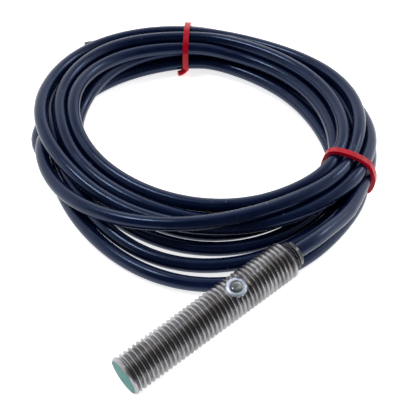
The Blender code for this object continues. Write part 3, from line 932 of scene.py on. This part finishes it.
def make_window_rim(looks):
    """The smooth ring around the window, which stands in its flat round seat in the thread."""
    inner = LENS_R + 0.04 * MM
    outer = SEAT_R - 0.02 * MM
    bottom = SEAT_HEIGHT + 0.01 * MM
    soft = 0.1 * MM
    outline = [(bottom, inner), (bottom, outer), (RIM_HEIGHT - 3 * soft, outer),
               (RIM_HEIGHT - 2 * soft, outer - 0.3 * soft), (RIM_HEIGHT, outer - 4 * soft),
               (RIM_HEIGHT, inner + soft), (RIM_HEIGHT - soft, inner)]
    rim = add_piece("window_rim", turned(outline, 72), looks["milled"], window_frame())
    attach(rim, "root")
    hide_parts("threaded_barrel")


def make_lens(looks):
    """Clear plug with a low domed top."""
    dome = [(LENS_TOP - LENS_RISE * (1 - math.cos(turn)), LENS_R * math.sin(turn))
            for turn in quarter_turn(8)]
    outline = [(LENS_BOTTOM, 0.0), (LENS_BOTTOM, LENS_R)] + dome
    lens = add_piece("window_lens", turned(outline, 64), looks["lens"], window_frame())
    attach(lens, "root")
    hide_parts("lamp_window")


def make_collar(looks):
    """Ribbed collar that closes the rear and narrows on to the cable."""
    flange = BARREL_LENGTH + 0.05 * MM
    plug_r = BORE_R - PLUG_GAP
    passage_r = CABLE_R + CABLE_GAP
    steps = 4
    outline = [(PLUG_START, passage_r), (PLUG_START, plug_r), (flange, plug_r), (flange, RIB_R)]
    for k in range(RIB_COUNT):
        start = flange + RIB_START + RIB_PITCH * k
        shoulder = RIB_R - RIB_TAPER * k - RIB_SWELL
        for step in range(steps + 1):
            swell = RIB_SWELL * math.sin(math.pi * step / steps)
            outline.append((start + RIB_WIDTH * step / steps, shoulder + swell))
        outline.append((start + GROOVE_PLACE, shoulder - GROOVE_DEPTH))
    outline += [(REAR_END - NOSE_CHAMFER, NOSE_R), (REAR_END, NOSE_END_R), (REAR_END, passage_r)]
    collar = add_piece("collar_ribs", turned(outline, 72), looks["collar"], axis_frame())
    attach(collar, "root")
    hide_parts("rear_collar")


def repaint(looks):
    """Better materials on the CAD pieces that keep their shape."""
    kept = {"ferrite": ["ferrite_core"], "bobbin": ["coil_bobbin"], "copper": ["coil_winding"],
            "board": ["circuit_board"], "lamp": ["status_lamp"], "sleeve": ["insulating_sleeve"],
            "chip": ["oscillator_chip", "output_transistor", "reverse_diode", "surge_diode"],
            "capacitor": ["oscillator_capacitor", "filter_capacitor", "supply_capacitor"],
            "resistor": ["gain_resistor", "trim_resistor", "lamp_resistor"],
            "wire_brown": ["brown_wire"], "wire_blue": ["blue_wire"], "wire_black": ["black_wire"]}
    for look, nodes in kept.items():
        for node in nodes:
            for holder in frame["nodes"][node].material_slots:
                holder.material = looks[look]


def make_looks():
    """Every material, by a short name."""
    return {
        "nickel": nickel_look(),
        "milled": mottled("milled_rim", (0.50, 0.55, 0.66), 0.42, metallic=0.7, scale=1500.0,
                          vary=0.1, bump_mm=0.01),
        "jacket": jacket_look(),
        "face": face_look(),
        "tie": tie_look(),
        "lens": lens_look(),
        "collar": mottled("collar_plastic", (0.003, 0.005, 0.013), 0.2, scale=700.0, vary=0.3,
                          bump_mm=0.01, coat=0.1),
        "ferrite": mottled("ferrite", (0.06, 0.06, 0.065), 0.6, scale=1500.0, vary=0.3, bump_mm=0.02),
        "bobbin": mottled("bobbin_plastic", (0.75, 0.72, 0.62), 0.5),
        "copper": mottled("winding_copper", (0.80, 0.36, 0.16), 0.28, metallic=1.0, scale=2500.0,
                          vary=0.2),
        "board": mottled("board_laminate", (0.03, 0.22, 0.10), 0.42, scale=1800.0, vary=0.2,
                         bump_mm=0.01, coat=0.3),
        "chip": mottled("chip_package", (0.02, 0.02, 0.022), 0.45, scale=3500.0, vary=0.3, bump_mm=0.01),
        "capacitor": mottled("capacitor_ceramic", (0.45, 0.30, 0.18), 0.5, scale=3000.0),
        "resistor": mottled("resistor_body", (0.03, 0.03, 0.05), 0.35, scale=3000.0),
        "lamp": mottled("lamp_package", (0.95, 0.75, 0.15), 0.25, scale=2500.0, vary=0.15,
                        bump_mm=0.003, coat=0.5),
        "sleeve": mottled("sleeve_plastic", (0.12, 0.12, 0.13), 0.5, scale=800.0),
        "wire_brown": mottled("wire_brown", (0.20, 0.08, 0.03), 0.38, scale=2000.0, vary=0.15),
        "wire_blue": mottled("wire_blue", (0.02, 0.08, 0.45), 0.38, scale=2000.0, vary=0.15),
        "wire_black": mottled("wire_black", (0.01, 0.01, 0.01), 0.38, scale=2000.0, vary=0.3),
    }


make_camera()
looks = make_looks()
make_cable(looks)
make_tent()
make_floor()
make_lights()
make_barrel(looks)
make_face(looks)
make_window_rim(looks)
make_lens(looks)
make_collar(looks)
repaint(looks)
bpy.context.view_layer.update()
